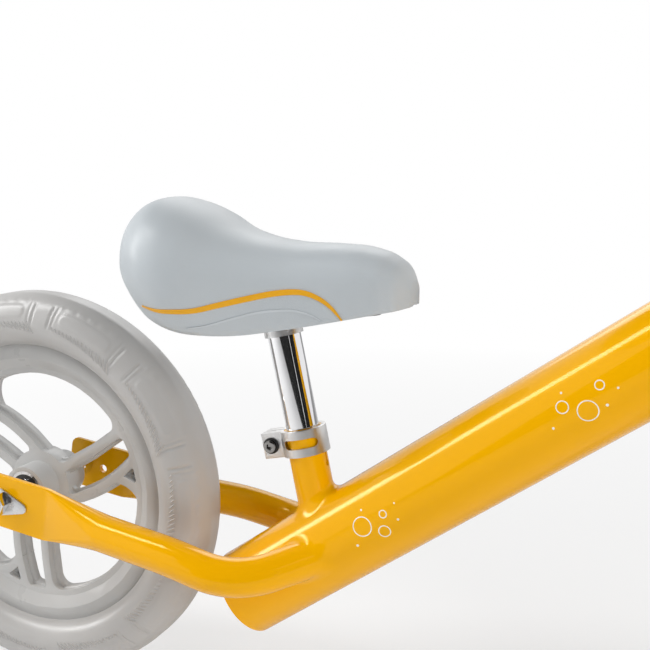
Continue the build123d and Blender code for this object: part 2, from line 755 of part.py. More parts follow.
def headset_cone():
    return sleeve(along_steering(cone_bottom), steer_up, steerer_radius + race_flange,
                  steerer_radius, headset_cone_height)


def headset_locknut():
    start = along_steering(cone_bottom + headset_cone_height)
    plane = Plane(origin=start, z_dir=steer_up)
    outline = RegularPolygon(locknut_flats / 2 * across_corners, 6) - Circle(steerer_radius)
    return extrude(plane * outline, amount=locknut_height)


def fork_parts():
    top = along_steering(steerer_top)
    parts["steerer_tube"] = steerer()
    parts["fork_crown"] = fork_crown()
    parts["right_fork_leg"] = fork_leg(-1)
    parts["left_fork_leg"] = fork_leg(1)
    parts["fork_leg_plugs"] = both_sides(leg_plug)
    parts["crown_race"] = sleeve(along_steering(crown_top), steer_up,
                                 steerer_radius + race_flange, steerer_radius,
                                 crown_race_height)
    parts["headset_cone"] = headset_cone()
    parts["headset_locknut"] = headset_locknut()
    parts["lower_headset_balls"] = headset_balls(along_steering(head_tube_bottom), -steer_up)
    parts["upper_headset_balls"] = headset_balls(along_steering(head_tube_top), steer_up)
    parts["stem_clamp"] = clamp(top, steer_up, steer_forward)
    parts["stem_clamp_bolt"] = clamp_bolt(top, steer_up, steer_forward)
    parts["stem_clamp_nut"] = clamp_nut(top, steer_up, steer_forward)
    axle_parts("front", front_axle, leg_fall())


def bar_path():
    back = along_steering(bar_height, -bar_sweep)
    middle = along_steering(bar_height)
    ends = [back + Vector(0, side * bar_half_width, 0) for side in (-1, 1)]
    knees = [middle + Vector(0, side * bar_straight, 0) for side in (-1, 1)]
    return [ends[0], knees[0], knees[1], ends[1]]


def bar_blank():
    path = FilletPolyline(*bar_path(), radius=bar_bend)
    return sweep(Plane(origin=path @ 0, z_dir=path % 0) * Circle(bar_radius), path=path)


def stem():
    """Upright tube, coped under the bar."""
    start = along_steering(steerer_top - stem_insert)
    reach = bar_height - bar_radius * stem_end_share - steerer_top + stem_insert
    return sleeve(start, steer_up, stem_radius, stem_radius - stem_wall, reach) - bar_blank()


def grip(side):
    """Rubber grip with a safety knob at its end, closed over the bar's open end."""
    points = bar_path()
    end, knee = (points[0], points[1]) if side < 0 else (points[3], points[2])
    inward = (knee - end).normalized()
    shape = rod(end, inward, grip_radius, grip_length)
    shape += rod(end - inward * grip_end_wall, inward, grip_knob_radius, grip_knob_width)
    flange_start = end + inward * (grip_length - grip_flange_width)
    shape += rod(flange_start, inward, grip_radius + grip_flange_height, grip_flange_width)
    return shape - rod(end, inward, bar_radius, grip_length)


def handlebar_parts():
    parts["stem_tube"] = stem()
    parts["handlebar"] = swept_tube(bar_path(), [bar_bend, bar_bend], bar_radius, bar_wall)
    parts["right_grip"] = grip(-1)
    parts["left_grip"] = grip(1)


# ---------------------------------------------------------------- seat

def saddle_plane():
    """Plane of the base's upper face, X forwards, with its origin under the saddle's rear end."""
    rise = radians(saddle_base_rise)
    origin = (rear_axle.X + saddle_rear, 0, saddle_height + saddle_base_height)
    return Plane(origin=origin, x_dir=(cos(rise), 0, sin(rise)), z_dir=(-sin(rise), 0, cos(rise)))


def base_outline():
    """Plan of the base: the saddle's lower edge drawn in, with a straight edge at both ends."""
    side = [(saddle_base_start, saddle_base_rear_half)]
    side += [(reach, half * share - saddle_base_inset)
             for reach, half, _, _, _, share in saddle_stations
             if saddle_base_start < reach - saddle_base_inset
             and reach + saddle_base_inset < saddle_base_end]
    side += [(saddle_base_end, saddle_base_front_half)]
    edge = Spline(*side)
    ends = [Line((reach, half), (reach, -half)) for reach, half in (side[0], side[-1])]
    return make_face([edge, mirror(edge, about=Plane.XZ), *ends])


def saddle_section(reach, half, top, widest, lower, share):
    """Half-oval above the widest line, drawn in towards the lower edge below it."""
    edge = [(half * share, lower), (half * (1 - (1 - share) / 4), (widest + lower) / 2)]
    crown = []
    for number in range(4):
        angle = pi / 2 * number / 4
        crown.append((half * cos(angle) ** 0.85, widest + (top - widest) * sin(angle) ** 0.9))
    near = edge + crown
    far = [(-across, up) for across, up in reversed(near)]
    outline = Spline(*near, (0, top), *far)
    station = Plane(origin=(rear_axle.X + saddle_rear + reach, 0, saddle_height),
                    x_dir=(0, 1, 0), z_dir=(1, 0, 0))
    return station * make_face([outline, Line((-half * share, lower), (half * share, lower))])


def base_pocket():
    """Space that the cover leaves under it for the base and the bracket."""
    return extrude(saddle_plane() * base_outline(), amount=-4 * saddle_base_thickness)


def saddle_cover():
    """Padded cover with a skirt all round, hollowed underneath for the base."""
    return loft([saddle_section(*station) for station in saddle_stations]) - base_pocket()


def saddle_base_blank():
    return extrude(saddle_plane() * base_outline(), amount=-saddle_base_thickness)


def base_underside():
    return saddle_plane().offset(-saddle_base_thickness)


def bracket_middle():
    """Where the post's axis meets the underside of the base, along the saddle's plane."""
    plane = base_underside()
    drop = (seat_foot - plane.origin).dot(plane.z_dir) / seat_up.dot(plane.z_dir)
    point = seat_foot - seat_up * drop
    return (point - plane.origin).dot(plane.x_dir)


def screw_places():
    middle = bracket_middle()
    reach = bracket_length / 2 - saddle_screw_inset
    across = bracket_width / 2 - saddle_screw_inset
    return [(middle + sx * reach, sy * across) for sx in (-1, 1) for sy in (-1, 1)]


def post_top():
    """The post ends just under the bracket's plate."""
    plane = base_underside()
    plate_middle = plane.from_local_coords((bracket_middle(), 0, 0))
    return plate_middle - seat_up * (bracket_thickness + post_top_gap)


def saddle_bracket():
    """Plate under the base with a socket that takes the seat post."""
    plane = base_underside()
    plate = plane * Pos(bracket_middle(), 0) * RectangleRounded(bracket_length, bracket_width,
                                                               bracket_corner)
    solid_plate = extrude(plate, amount=-bracket_thickness)
    socket = rod(post_top() - seat_up * bracket_socket_depth, seat_up,
                 post_radius + bracket_socket_wall, bracket_socket_depth + bracket_thickness)
    shape = solid_plate + (socket - extrude(plate, amount=saddle_base_thickness * 2))
    shape -= rod(post_top() - seat_up * bracket_socket_depth, seat_up, post_radius,
                 bracket_socket_depth)
    for x, y in screw_places():
        hole = plane * Pos(x, y) * Circle(saddle_screw_radius)
        shape -= extrude(hole, amount=-bracket_thickness)
    return shape


def saddle_screws():
    plane = base_underside()
    screws = []
    for x, y in screw_places():
        shank = extrude(plane * Pos(x, y) * Circle(saddle_screw_radius), amount=saddle_screw_length)
        shank += extrude(plane * Pos(x, y) * Circle(saddle_screw_radius), amount=-bracket_thickness)
        head = plane * Pos(x, y, -bracket_thickness) * Circle(saddle_screw_radius * saddle_screw_head_share)
        screws.append(shank + extrude(head, amount=-saddle_screw_head))
    return solids_of(*screws)


def saddle_base():
    shape = saddle_base_blank()
    for x, y in screw_places():
        hole = base_underside() * Pos(x, y) * Circle(saddle_screw_radius)
        shape -= extrude(hole, amount=saddle_screw_length)
    return shape


def seat_parts():
    length = (post_top() - along_seat(seat_tube_rise)).length + post_bottom
    parts["seat_post"] = sleeve(post_top() - seat_up * length, seat_up, post_radius,
                                post_radius - post_wall, length)
    parts["saddle_bracket"] = saddle_bracket()
    parts["saddle_base"] = saddle_base()
    parts["saddle_cover"] = saddle_cover()
    parts["saddle_screws"] = saddle_screws()


frame_parts()
wheel_parts("rear", rear_axle)
fork_parts()
wheel_parts("front", front_axle)
handlebar_parts()
seat_parts()

os.makedirs("parts", exist_ok=True)
for name, shape in parts.items():
    export_step(shape, f"parts/{name}.step")
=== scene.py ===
import bpy
import json
import math
import numpy as np
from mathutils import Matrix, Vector
from mathutils.bvhtree import BVHTree


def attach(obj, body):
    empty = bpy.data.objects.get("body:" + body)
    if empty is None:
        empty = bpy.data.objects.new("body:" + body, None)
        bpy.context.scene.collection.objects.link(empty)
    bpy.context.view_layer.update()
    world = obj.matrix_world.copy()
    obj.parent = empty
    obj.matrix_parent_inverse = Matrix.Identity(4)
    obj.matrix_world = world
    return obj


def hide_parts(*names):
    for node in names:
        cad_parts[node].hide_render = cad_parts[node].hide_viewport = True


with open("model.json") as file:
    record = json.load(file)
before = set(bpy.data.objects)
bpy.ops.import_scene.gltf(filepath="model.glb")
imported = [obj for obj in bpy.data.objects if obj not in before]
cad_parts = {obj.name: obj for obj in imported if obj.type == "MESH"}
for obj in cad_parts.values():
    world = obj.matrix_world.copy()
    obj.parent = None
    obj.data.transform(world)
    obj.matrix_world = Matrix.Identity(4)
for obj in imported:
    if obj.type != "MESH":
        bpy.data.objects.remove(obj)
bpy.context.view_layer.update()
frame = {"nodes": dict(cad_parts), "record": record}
nodes = frame["nodes"]
print("frame loaded:", len(nodes), "nodes")


# ---- small helpers

def freshStart():
    if bpy.context.object and bpy.context.object.mode != "OBJECT":
        bpy.ops.object.mode_set(mode="OBJECT")
    bpy.ops.object.select_all(action="DESELECT")


def onlyThis(piece):
    freshStart()
    piece.select_set(True)
    bpy.context.view_layer.objects.active = piece


def editAll(piece):
    onlyThis(piece)
    bpy.ops.object.mode_set(mode="EDIT")
    bpy.ops.mesh.select_all(action="SELECT")


def leaveEdit():
    bpy.ops.object.mode_set(mode="OBJECT")


def cleanMesh(piece, doubles=0.00001):
    # merge what coincides and point the faces outwards
    editAll(piece)
    bpy.ops.mesh.remove_doubles(threshold=doubles)
    bpy.ops.mesh.normals_make_consistent(inside=False)
    leaveEdit()


def settle(piece):
    onlyThis(piece)
    bpy.ops.object.transform_apply(location=True, rotation=True, scale=True)


def modify(piece, kind, **settings):
    onlyThis(piece)
    modifier = piece.modifiers.new(kind.title(), kind)
    for key, value in settings.items():
        setattr(modifier, key, value)
    bpy.ops.object.modifier_apply(modifier=modifier.name)


def smoothByAngle(piece, degrees=32):
    onlyThis(piece)
    bpy.ops.object.shade_smooth_by_angle(angle=math.radians(degrees))


def dress(piece, name, body, slotName, material, *replaced):
    piece.name = name
    piece.data.name = name
    piece.data.materials.clear()
    piece.data.materials.append(material)
    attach(piece, body)
    if replaced:
        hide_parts(*replaced)
    return piece


def points(piece):
    values = np.empty(len(piece.data.vertices) * 3)
    piece.data.vertices.foreach_get("co", values)
    return values.reshape(-1, 3)


def joinInto(piece, others):
    onlyThis(piece)
    for other in others:
        other.select_set(True)
    bpy.ops.object.join()


def setPoints(piece, values):
    piece.data.vertices.foreach_set("co", np.ascontiguousarray(values).ravel())
    piece.data.update()


def softCopy(nodeName, width):
    # a copy of a hard piece with its doubles merged and its edges rounded
    freshStart()
    source = nodes[nodeName]
    piece = bpy.data.objects.new(nodeName + "_finish", source.data.copy())
    bpy.context.scene.collection.objects.link(piece)
    piece.matrix_world = source.matrix_world.copy()
    cleanMesh(piece)
    editAll(piece)
    bpy.ops.mesh.dissolve_limited(angle_limit=math.radians(4))
    leaveEdit()
    modify(piece, "BEVEL", width=width, segments=2, limit_method="ANGLE",
           angle_limit=math.radians(30), harden_normals=False, use_clamp_overlap=True)
    smoothByAngle(piece, 40)
    return piece


# ---- materials

def newMaterial(name, colour, **sockets):
    material = bpy.data.materials.new(name)
    material.use_nodes = True
    shader = material.node_tree.nodes["Principled BSDF"]
    shader.inputs["Base Color"].default_value = (*colour, 1)
    for key, value in sockets.items():
        shader.inputs[key.replace("_", " ")].default_value = value
    return material


def addNode(material, kind, **settings):
    node = material.node_tree.nodes.new(kind)
    for key, value in settings.items():
        if key in node.inputs:
            node.inputs[key].default_value = value
        else:
            setattr(node, key, value)
    return node


def link(material, out, into):
    material.node_tree.links.new(out, into)


def pattern(material, kind="ShaderNodeTexNoise", **settings):
    # a texture on object coordinates
    place = addNode(material, "ShaderNodeTexCoord")
    texture = addNode(material, kind, **settings)
    link(material, place.outputs["Object"], texture.inputs["Vector"])
    return texture


def ramp(material, value, stops):
    # stops are (position, colour or grey)
    node = addNode(material, "ShaderNodeValToRGB")
    elements = node.color_ramp.elements
    while len(elements) < len(stops):
        elements.new(0.5)
    for element, (position, colour) in zip(elements, stops):
        element.position = position
        colour = colour if isinstance(colour, tuple) else (colour,) * 3
        element.color = (*colour, 1)
    link(material, value, node.inputs["Fac"])
    return node.outputs["Color"]


def varied(material, value, socketName, stops):
    shader = material.node_tree.nodes["Principled BSDF"]
    link(material, ramp(material, value, stops), shader.inputs[socketName])


def bump(material, height, strength, distance):
    shader = material.node_tree.nodes["Principled BSDF"]
    node = addNode(material, "ShaderNodeBump", Strength=strength, Distance=distance)
    link(material, height, node.inputs["Height"])
    before = shader.inputs["Normal"]
    if before.is_linked:
        link(material, before.links[0].from_socket, node.inputs["Normal"])
    link(material, node.outputs["Normal"], before)


def near(colour, share):
    return tuple(min(1, part * share) for part in colour)


def drift(material, colour, scale, detail, low, high):
    # lets the colour wander a little over the piece
    noise = pattern(material, Scale=scale, Detail=detail)
    varied(material, noise.outputs["Fac"], "Base Color",
           [(0.3, near(colour, low)), (0.7, near(colour, high))])


def sheen(material, scale, detail, low, high, full=0.7):
    # lets the roughness wander between two values
    noise = pattern(material, Scale=scale, Detail=detail)
    varied(material, noise.outputs["Fac"], "Roughness", [(0.3, low), (full, high)])


def grain(material, scale, detail, strength, distance):
    noise = pattern(material, Scale=scale, Detail=detail)
    bump(material, noise.outputs["Fac"], strength, distance)


def makePaint():
    yellow = (0.93, 0.45, 0.0005)
    paint = newMaterial("glossYellow", yellow, Roughness=0.16, Specular_IOR_Level=0.4,
                        Specular_Tint=(1, 0.72, 0.08, 1), Coat_Weight=0.30,
                        Coat_Roughness=0.05, Coat_IOR=1.5)
    drift(paint, yellow, 9, 3, 0.97, 1.03)
    grain(paint, 420, 1, 0.05, 0.0004)
    sheen(paint, 60, 4, 0.14, 0.20, 0.75)
    return paint


def makeFoam():
    grey = (0.475, 0.466, 0.455)
    foam = newMaterial("tyreFoam", grey, Roughness=0.34, Specular_IOR_Level=0.6)
    drift(foam, grey, 14, 4, 0.95, 1.05)
    grain(foam, 900, 2, 0.10, 0.0003)
    sheen(foam, 35, 3, 0.29, 0.38)
    return foam


def makePlastic(name, colour, low, high, fineness=700, strength=0.08):
    plastic = newMaterial(name, colour, Roughness=(low + high) / 2, Specular_IOR_Level=0.5)
    drift(plastic, colour, 18, 4, 0.95, 1.05)
    grain(plastic, fineness, 2, strength, 0.0003)
    sheen(plastic, 40, 3, low, high)
    return plastic


def makeMetal(name, colour, low, high, fineness=300, strength=0.03):
    metal = newMaterial(name, colour, Metallic=1.0, Roughness=(low + high) / 2)
    smear = pattern(metal, Scale=fineness, Detail=3)
    varied(metal, smear.outputs["Fac"], "Roughness", [(0.3, low), (0.7, high)])
    bump(metal, smear.outputs["Fac"], strength, 0.0002)
    drift(metal, colour, 30, 3, 0.94, 1.04)
    return metal


def makeSkin():
    grey = (0.50, 0.54, 0.567)
    skin = newMaterial("saddleSkin", grey, Roughness=0.46, Specular_IOR_Level=0.5,
                       Coat_Weight=0.12, Coat_Roughness=0.3)
    pores = pattern(skin, "ShaderNodeTexVoronoi", Scale=1100)
    bump(skin, pores.outputs["Distance"], 0.14, 0.0003)
    grain(skin, 130, 2, 0.05, 0.0006)
    drift(skin, grey, 10, 3, 0.97, 1.03)
    sheen(skin, 26, 4, 0.40, 0.52)
    return skin


gloss = makePaint()
foam = makeFoam()
rimGrey = makePlastic("rimPlastic", (0.50, 0.498, 0.49), 0.27, 0.37)
blackPlastic = makePlastic("blackPlastic", (0.022, 0.022, 0.024), 0.42, 0.6, 500, 0.2)
sealRubber = makePlastic("sealRubber", (0.018, 0.018, 0.018), 0.40, 0.55)
gripRubber = makePlastic("gripRubber", (0.245, 0.265, 0.285), 0.52, 0.68, 420, 0.3)
saddleSkin = makeSkin()
yellowFilm = makePlastic("stripeYellow", (0.83, 0.40, 0.004), 0.36, 0.46)
paleFilm = makePlastic("stripePale", (0.56, 0.60, 0.63), 0.36, 0.46)
whitePrint = makePlastic("whitePrint", (0.93, 0.90, 0.80), 0.28, 0.36)
groundSteel = makeMetal("groundSteel", (0.63, 0.62, 0.61), 0.18, 0.32, 260)
zincPlate = makeMetal("zincPlate", (0.70, 0.70, 0.70), 0.24, 0.40, 180, 0.05)
chrome = makeMetal("chrome", (0.80, 0.80, 0.81), 0.035, 0.075, 90, 0.004)
blackSteel = makeMetal("blackSteel", (0.05, 0.05, 0.055), 0.30, 0.45, 240)
darkChrome = makeMetal("darkChrome", (0.30, 0.29, 0.28), 0.10, 0.20, 200, 0.02)
blasted = makeMetal("blastedAluminium", (0.72, 0.715, 0.71), 0.34, 0.46, 1200, 0.10)

finishes = {
    "frame_paint": gloss, "bar_paint": gloss, "tyre_foam": foam, "rim_plastic": rimGrey,
    "bearing_steel": groundSteel, "black_rubber": sealRubber, "zinc_steel": zincPlate,
    "chrome_steel": chrome, "black_steel": blackSteel, "matt_aluminium": blasted,
    "grip_rubber": gripRubber, "black_plastic": blackPlastic, "saddle_skin": saddleSkin,
}
slotOf = {part["node"]: part["material_slot"] for part in frame["record"]["subparts"]}
bodyOf = {part: body for body, held in frame["record"]["behaviour"]["bodies"].items()
          for part in held}
for name, node in nodes.items():
    node.data.materials.clear()
    node.data.materials.append(finishes[slotOf[name]])
print("materials made")


# ---- camera, floor and light

view = {
    "place": (0.14611, -0.58676, 0.37874),
    "towards": (-0.36081, 0.91927, -0.15730),
    "lens": 53.9,
}


def makeCamera():
    bpy.ops.object.camera_add(location=view["place"])
    camera = bpy.context.object
    camera.rotation_euler = Vector(view["towards"]).to_track_quat("-Z", "Y").to_euler()
    camera.data.lens = view["lens"]
    camera.data.sensor_width = 36
    camera.data.clip_start = 0.01
    bpy.context.scene.camera = camera


def makeFloor():
    bpy.ops.mesh.primitive_plane_add(size=60)
    floor = bpy.context.object
    floor.name = "floor"
    card = newMaterial("floorCard", (0.93, 0.93, 0.93), Roughness=0.9, Specular_IOR_Level=0.1)
    tree = card.node_tree
    cloud = pattern(card, Scale=3, Detail=2)
    varied(card, cloud.outputs["Fac"], "Base Color", [(0.2, 0.925), (0.8, 0.94)])
    # the card turns to plain white away from the bike, and for the camera keeps only a soft shadow
    place = addNode(card, "ShaderNodeTexCoord")
    distance = addNode(card, "ShaderNodeVectorMath", operation="LENGTH")
    fade = addNode(card, "ShaderNodeMapRange")
    fade.inputs["From Min"].default_value = 0.45
    fade.inputs["From Max"].default_value = 1.5
    fade.inputs["To Min"].default_value = 0.60
    rays = addNode(card, "ShaderNodeLightPath")
    seen = addNode(card, "ShaderNodeMath", operation="MAXIMUM")
    share = addNode(card, "ShaderNodeMath", operation="MULTIPLY")
    white = addNode(card, "ShaderNodeEmission")
    white.inputs["Color"].default_value = (1, 1, 1, 1)
    mix = addNode(card, "ShaderNodeMixShader")
    link(card, place.outputs["Object"], distance.inputs[0])
    link(card, distance.outputs["Value"], fade.inputs["Value"])
    link(card, rays.outputs["Is Camera Ray"], seen.inputs[0])
    link(card, rays.outputs["Is Transmission Ray"], seen.inputs[1])
    link(card, seen.outputs[0], share.inputs[0])
    link(card, fade.outputs["Result"], share.inputs[1])
    link(card, share.outputs[0], mix.inputs["Fac"])
    link(card, tree.nodes["Principled BSDF"].outputs["BSDF"], mix.inputs[1])
    link(card, white.outputs["Emission"], mix.inputs[2])
    link(card, mix.outputs["Shader"], tree.nodes["Material Output"].inputs["Surface"])
    floor.data.materials.append(card)


def makeFlag(name, place, towards, width, height):
    # a dark card that only mirrors and gloss can see, as beside a camera in a studio
    bpy.ops.mesh.primitive_plane_add(size=1, location=place)
    flag = bpy.context.object
    flag.name = name
    flag.scale = (width, height, 1)
    aim = Vector(towards) - Vector(place)
    flag.rotation_euler = aim.to_track_quat("Z", "Y").to_euler()
    dark = newMaterial(name + "Cloth", (0.015, 0.015, 0.016), Roughness=0.9)
    nap = pattern(dark, Scale=60, Detail=2)
    varied(dark, nap.outputs["Fac"], "Base Color", [(0.3, 0.012), (0.7, 0.018)])
    flag.data.materials.append(dark)
    flag.visible_camera = False
    flag.visible_diffuse = False
    flag.visible_shadow = False


def makeWorld():
    world = bpy.data.worlds.new("studio")
    bpy.context.scene.world = world
    world.use_nodes = True
    tree = world.node_tree
    background = tree.nodes["Background"]
    background.inputs["Color"].default_value = (1, 1, 1, 1)
    # full white where it is seen, looked through to or mirrored; dimmer as light on the bike
    rays = tree.nodes.new("ShaderNodeLightPath")
    seen = tree.nodes.new("ShaderNodeMath")
    seen.operation = "MAXIMUM"
    seenOrMirrored = tree.nodes.new("ShaderNodeMath")
    seenOrMirrored.operation = "MAXIMUM"
    strength = tree.nodes.new("ShaderNodeMapRange")
    strength.inputs["To Min"].default_value = 0.31
    strength.inputs["To Max"].default_value = 1.0
    tree.links.new(rays.outputs["Is Camera Ray"], seen.inputs[0])
    tree.links.new(rays.outputs["Is Transmission Ray"], seen.inputs[1])
    tree.links.new(seen.outputs[0], seenOrMirrored.inputs[0])
    tree.links.new(rays.outputs["Is Glossy Ray"], seenOrMirrored.inputs[1])
    tree.links.new(seenOrMirrored.outputs[0], strength.inputs["Value"])
    tree.links.new(strength.outputs[0], background.inputs["Strength"])


def softLamp(place, target, width, height, watts, tilt=0, mirrored=True):
    bpy.ops.object.light_add(type="AREA", location=place)
    lamp = bpy.context.object
    lamp.data.shape = "RECTANGLE"
    lamp.data.size = width
    lamp.data.size_y = height
    lamp.data.energy = watts
    lamp.visible_glossy = mirrored
    aim = Vector(target) - Vector(place)
    lamp.rotation_euler = aim.to_track_quat("-Z", "Y").to_euler()
    lamp.rotation_euler.rotate_axis("Z", math.radians(tilt))


def makeLight():
    # a tall strip that draws the long gleam on the main tube, then two broad soft lamps
    softLamp((-1.45, -0.45, 1.25), (0.1, 0, 0.27), 0.32, 2.0, 24, -14)
    softLamp((1.8, -1.3, 1.0), (0, 0, 0.25), 1.0, 1.4, 25, mirrored=False)
    softLamp((-0.6, 1.6, 1.5), (0, 0, 0.25), 1.2, 1.0, 7)


makeCamera()
makeFloor()
makeWorld()
makeLight()
makeFlag("frontFlag", (0.70, -2.1, 0.7), (0.65, 0, 0.5), 3.6, 2.8)
makeFlag("sideFlag", (2.7, -1.1, 0.7), (0, -1.1, 0.5), 1.9, 2.8)
makeFlag("topFlag", (0.1, -0.2, 3.0), (0.1, -0.19, 0), 5.5, 5.5)
bpy.context.scene.view_settings.view_transform = "Standard"
print("camera, floor and light set")


# ---- tyres: a section spun round the axle, then the moulded tread

wheel = {"radius": 0.1455, "base": 0.625}
rearAxle = Vector((-wheel["base"] / 2, 0, wheel["radius"]))
frontAxle = Vector((wheel["base"] / 2, 0, wheel["radius"]))

tyre = {
    "bed": 0.104, "bedHalf": 0.009, "lip": 0.107, "lipHalf": 0.0109,
    "flank": (0.1116, 0.01956), "bulge": (0.1213, 0.024), "shoulder": (0.1386, 0.01752),
    "crownHalf": 0.006, "steps": 900, "flankPoints": 16, "shoulderPoints": 24, "groups": 11,
    # the middle of the section, and the share that keeps the tread inside the tyre's own size
    "heart": 0.122, "held": 0.9965,
}
# in millimetres of surface: across goes round the tyre, run goes up the section from the bulge
tread = {
    "radius": 133,
    "panel": {"run": 12.5, "halfAcross": 22, "halfRun": 5.2, "corner": 4.5, "rise": 0.60,
              "edge": 1.6},
    "groove": {"across": 30.5, "apart": 3.6, "run": 12, "halfRun": 8, "edge": 3,
               "depths": (0.90, 0.55), "widths": (1.3, 1.1)},
    "block": {"pitch": 9, "run": 22, "halfAcross": 2.7, "halfRun": 1.9, "corner": 0.6,
              "slant": 0.25, "rise": 0.28, "edge": 1.2, "reach": 26},
}


def arcThrough(start, middle, end, count):
    # points of the circle through three points
    (ax, ay), (bx, by), (cx, cy) = start, middle, end
    d = 2 * (ax * (by - cy) + bx * (cy - ay) + cx * (ay - by))
    sa, sb, sc = ax * ax + ay * ay, bx * bx + by * by, cx * cx + cy * cy
    centre = Vector(((sa * (by - cy) + sb * (cy - ay) + sc * (ay - by)) / d,
                     (sa * (cx - bx) + sb * (ax - cx) + sc * (bx - ax)) / d))
    arms = [Vector(point) - centre for point in (start, middle, end)]
    radius = arms[0].length
    angles = np.unwrap([math.atan2(arm.y, arm.x) for arm in arms])
    return [(centre.x + radius * math.cos(turn), centre.y + radius * math.sin(turn))
            for turn in np.linspace(angles[0], angles[2], count)]


def tyreHalf():
    lip = (tyre["lip"], tyre["lipHalf"])
    crown = (wheel["radius"], tyre["crownHalf"])
    half = [(tyre["bed"], 0), (tyre["bed"], tyre["bedHalf"])]
    half += arcThrough(lip, tyre["flank"], tyre["bulge"], tyre["flankPoints"])
    half += arcThrough(tyre["bulge"], tyre["shoulder"], crown, tyre["shoulderPoints"])[1:]
    half += [(wheel["radius"], crown[1] / 2), (wheel["radius"], 0)]
    return half


def roundedBox(u, v, halfU, halfV, corner):
    # signed distance to a rounded rectangle
    du = np.abs(u) - (halfU - corner)
    dv = np.abs(v) - (halfV - corner)
    outside = np.hypot(np.maximum(du, 0), np.maximum(dv, 0))
    return outside + np.minimum(np.maximum(du, dv), 0) - corner


def ridge(distance, width):
    # 1 on the line, 0 beyond the width
    return np.clip(1 - (np.abs(distance) / width) ** 2, 0, 1)


def plateau(distance, edge):
    # 1 inside the outline, 0 outside, with a slope as wide as the edge
    return np.clip(0.5 - distance / edge, 0, 1)


def treadHeight(angle, run):
    panel, groove, block = tread["panel"], tread["groove"], tread["block"]
    pitch = 2 * math.pi / tyre["groups"]
    across = ((angle + pitch / 2) % pitch - pitch / 2) * tread["radius"]
    outline = roundedBox(across, run - panel["run"], panel["halfAcross"], panel["halfRun"],
                         panel["corner"])
    height = panel["rise"] * plateau(outline, panel["edge"])
    edge = np.abs(across) - groove["across"]
    reach = plateau(np.abs(run - groove["run"]) - groove["halfRun"], groove["edge"])
    for number, (depth, width) in enumerate(zip(groove["depths"], groove["widths"])):
        height -= depth * ridge(edge + number * groove["apart"], width) * reach
    half = block["pitch"] / 2
    cell = (across + half) % block["pitch"] - half
    up = run - block["run"]
    outline = roundedBox(cell - block["slant"] * up, up, block["halfAcross"], block["halfRun"],
                         block["corner"])
    height += block["rise"] * plateau(outline, block["edge"]) * (np.abs(across) < block["reach"])
    return height * 0.001


def makeTyre(axle, name, body, node):
    half = tyreHalf()
    section = half + [(radius, -width) for radius, width in reversed(half[1:-1])]
    freshStart()
    bpy.ops.mesh.primitive_circle_add(vertices=len(section), radius=0.01, location=(0, 0, 0))
    ring = bpy.context.object
    setPoints(ring, np.array([(radius, width, 0) for radius, width in section]))
    editAll(ring)
    bpy.ops.mesh.spin(steps=tyre["steps"], angle=2 * math.pi, center=(0, 0, 0), axis=(0, 1, 0))
    bpy.ops.mesh.select_all(action="SELECT")
    bpy.ops.mesh.remove_doubles(threshold=0.000005)
    bpy.ops.mesh.normals_make_consistent(inside=False)
    leaveEdit()
    co = points(ring)
    radius = np.hypot(co[:, 0], co[:, 2])
    angle = np.arctan2(co[:, 2], co[:, 0])
    bulgeRadius = tyre["bulge"][0]
    upper = half[tyre["flankPoints"] + 1:]
    upperRun = np.cumsum([0] + [math.dist(a, b) for a, b in zip(upper, upper[1:])]) * 1000
    upperRadius = [point[0] for point in upper]
    onCrown = radius > wheel["radius"] - 0.00001
    run = np.interp(radius, upperRadius[:-2], upperRun[:-2])
    run = np.where(onCrown, upperRun[-1] - np.abs(co[:, 1]) * 1000, run)
    run = np.where(radius < bulgeRadius, -(bulgeRadius - radius) * 1000, run)
    height = treadHeight(angle, run)
    normal = np.stack([radius - tyre["heart"], co[:, 1]], axis=1)
    normal /= np.linalg.norm(normal, axis=1)[:, None]
    radius = radius + height * normal[:, 0]
    co[:, 1] += height * normal[:, 1]
    co[:, 0] = radius * np.cos(angle)
    co[:, 2] = radius * np.sin(angle)
    setPoints(ring, co * np.array([tyre["held"], 1, tyre["held"]]) + np.array(axle))
    smoothByAngle(ring, 50)
    return dress(ring, name, body, "tyre_foam", foam, node)


def twin(piece, move):
    # the same piece again, with a mesh of its own
    other = bpy.data.objects.new(piece.name, piece.data.copy())
    bpy.context.scene.collection.objects.link(other)
    setPoints(other, points(other) + np.array(move))
    return other


rearTyre = makeTyre(rearAxle, "rear_tyre_tread", "rear_wheel", "rear_tyre")
dress(twin(rearTyre, frontAxle - rearAxle), "front_tyre_tread", "front_wheel", "tyre_foam",
      foam, "front_tyre")
ribs = {
    "count": 16, "spread": 23, "slant": 54, "top": 0.1268, "shortest": 0.003, "longest": 0.0105,
    "halfWidth": 0.0008, "rise": 0.0009, "sink": 0.0004, "stations": 6,
}


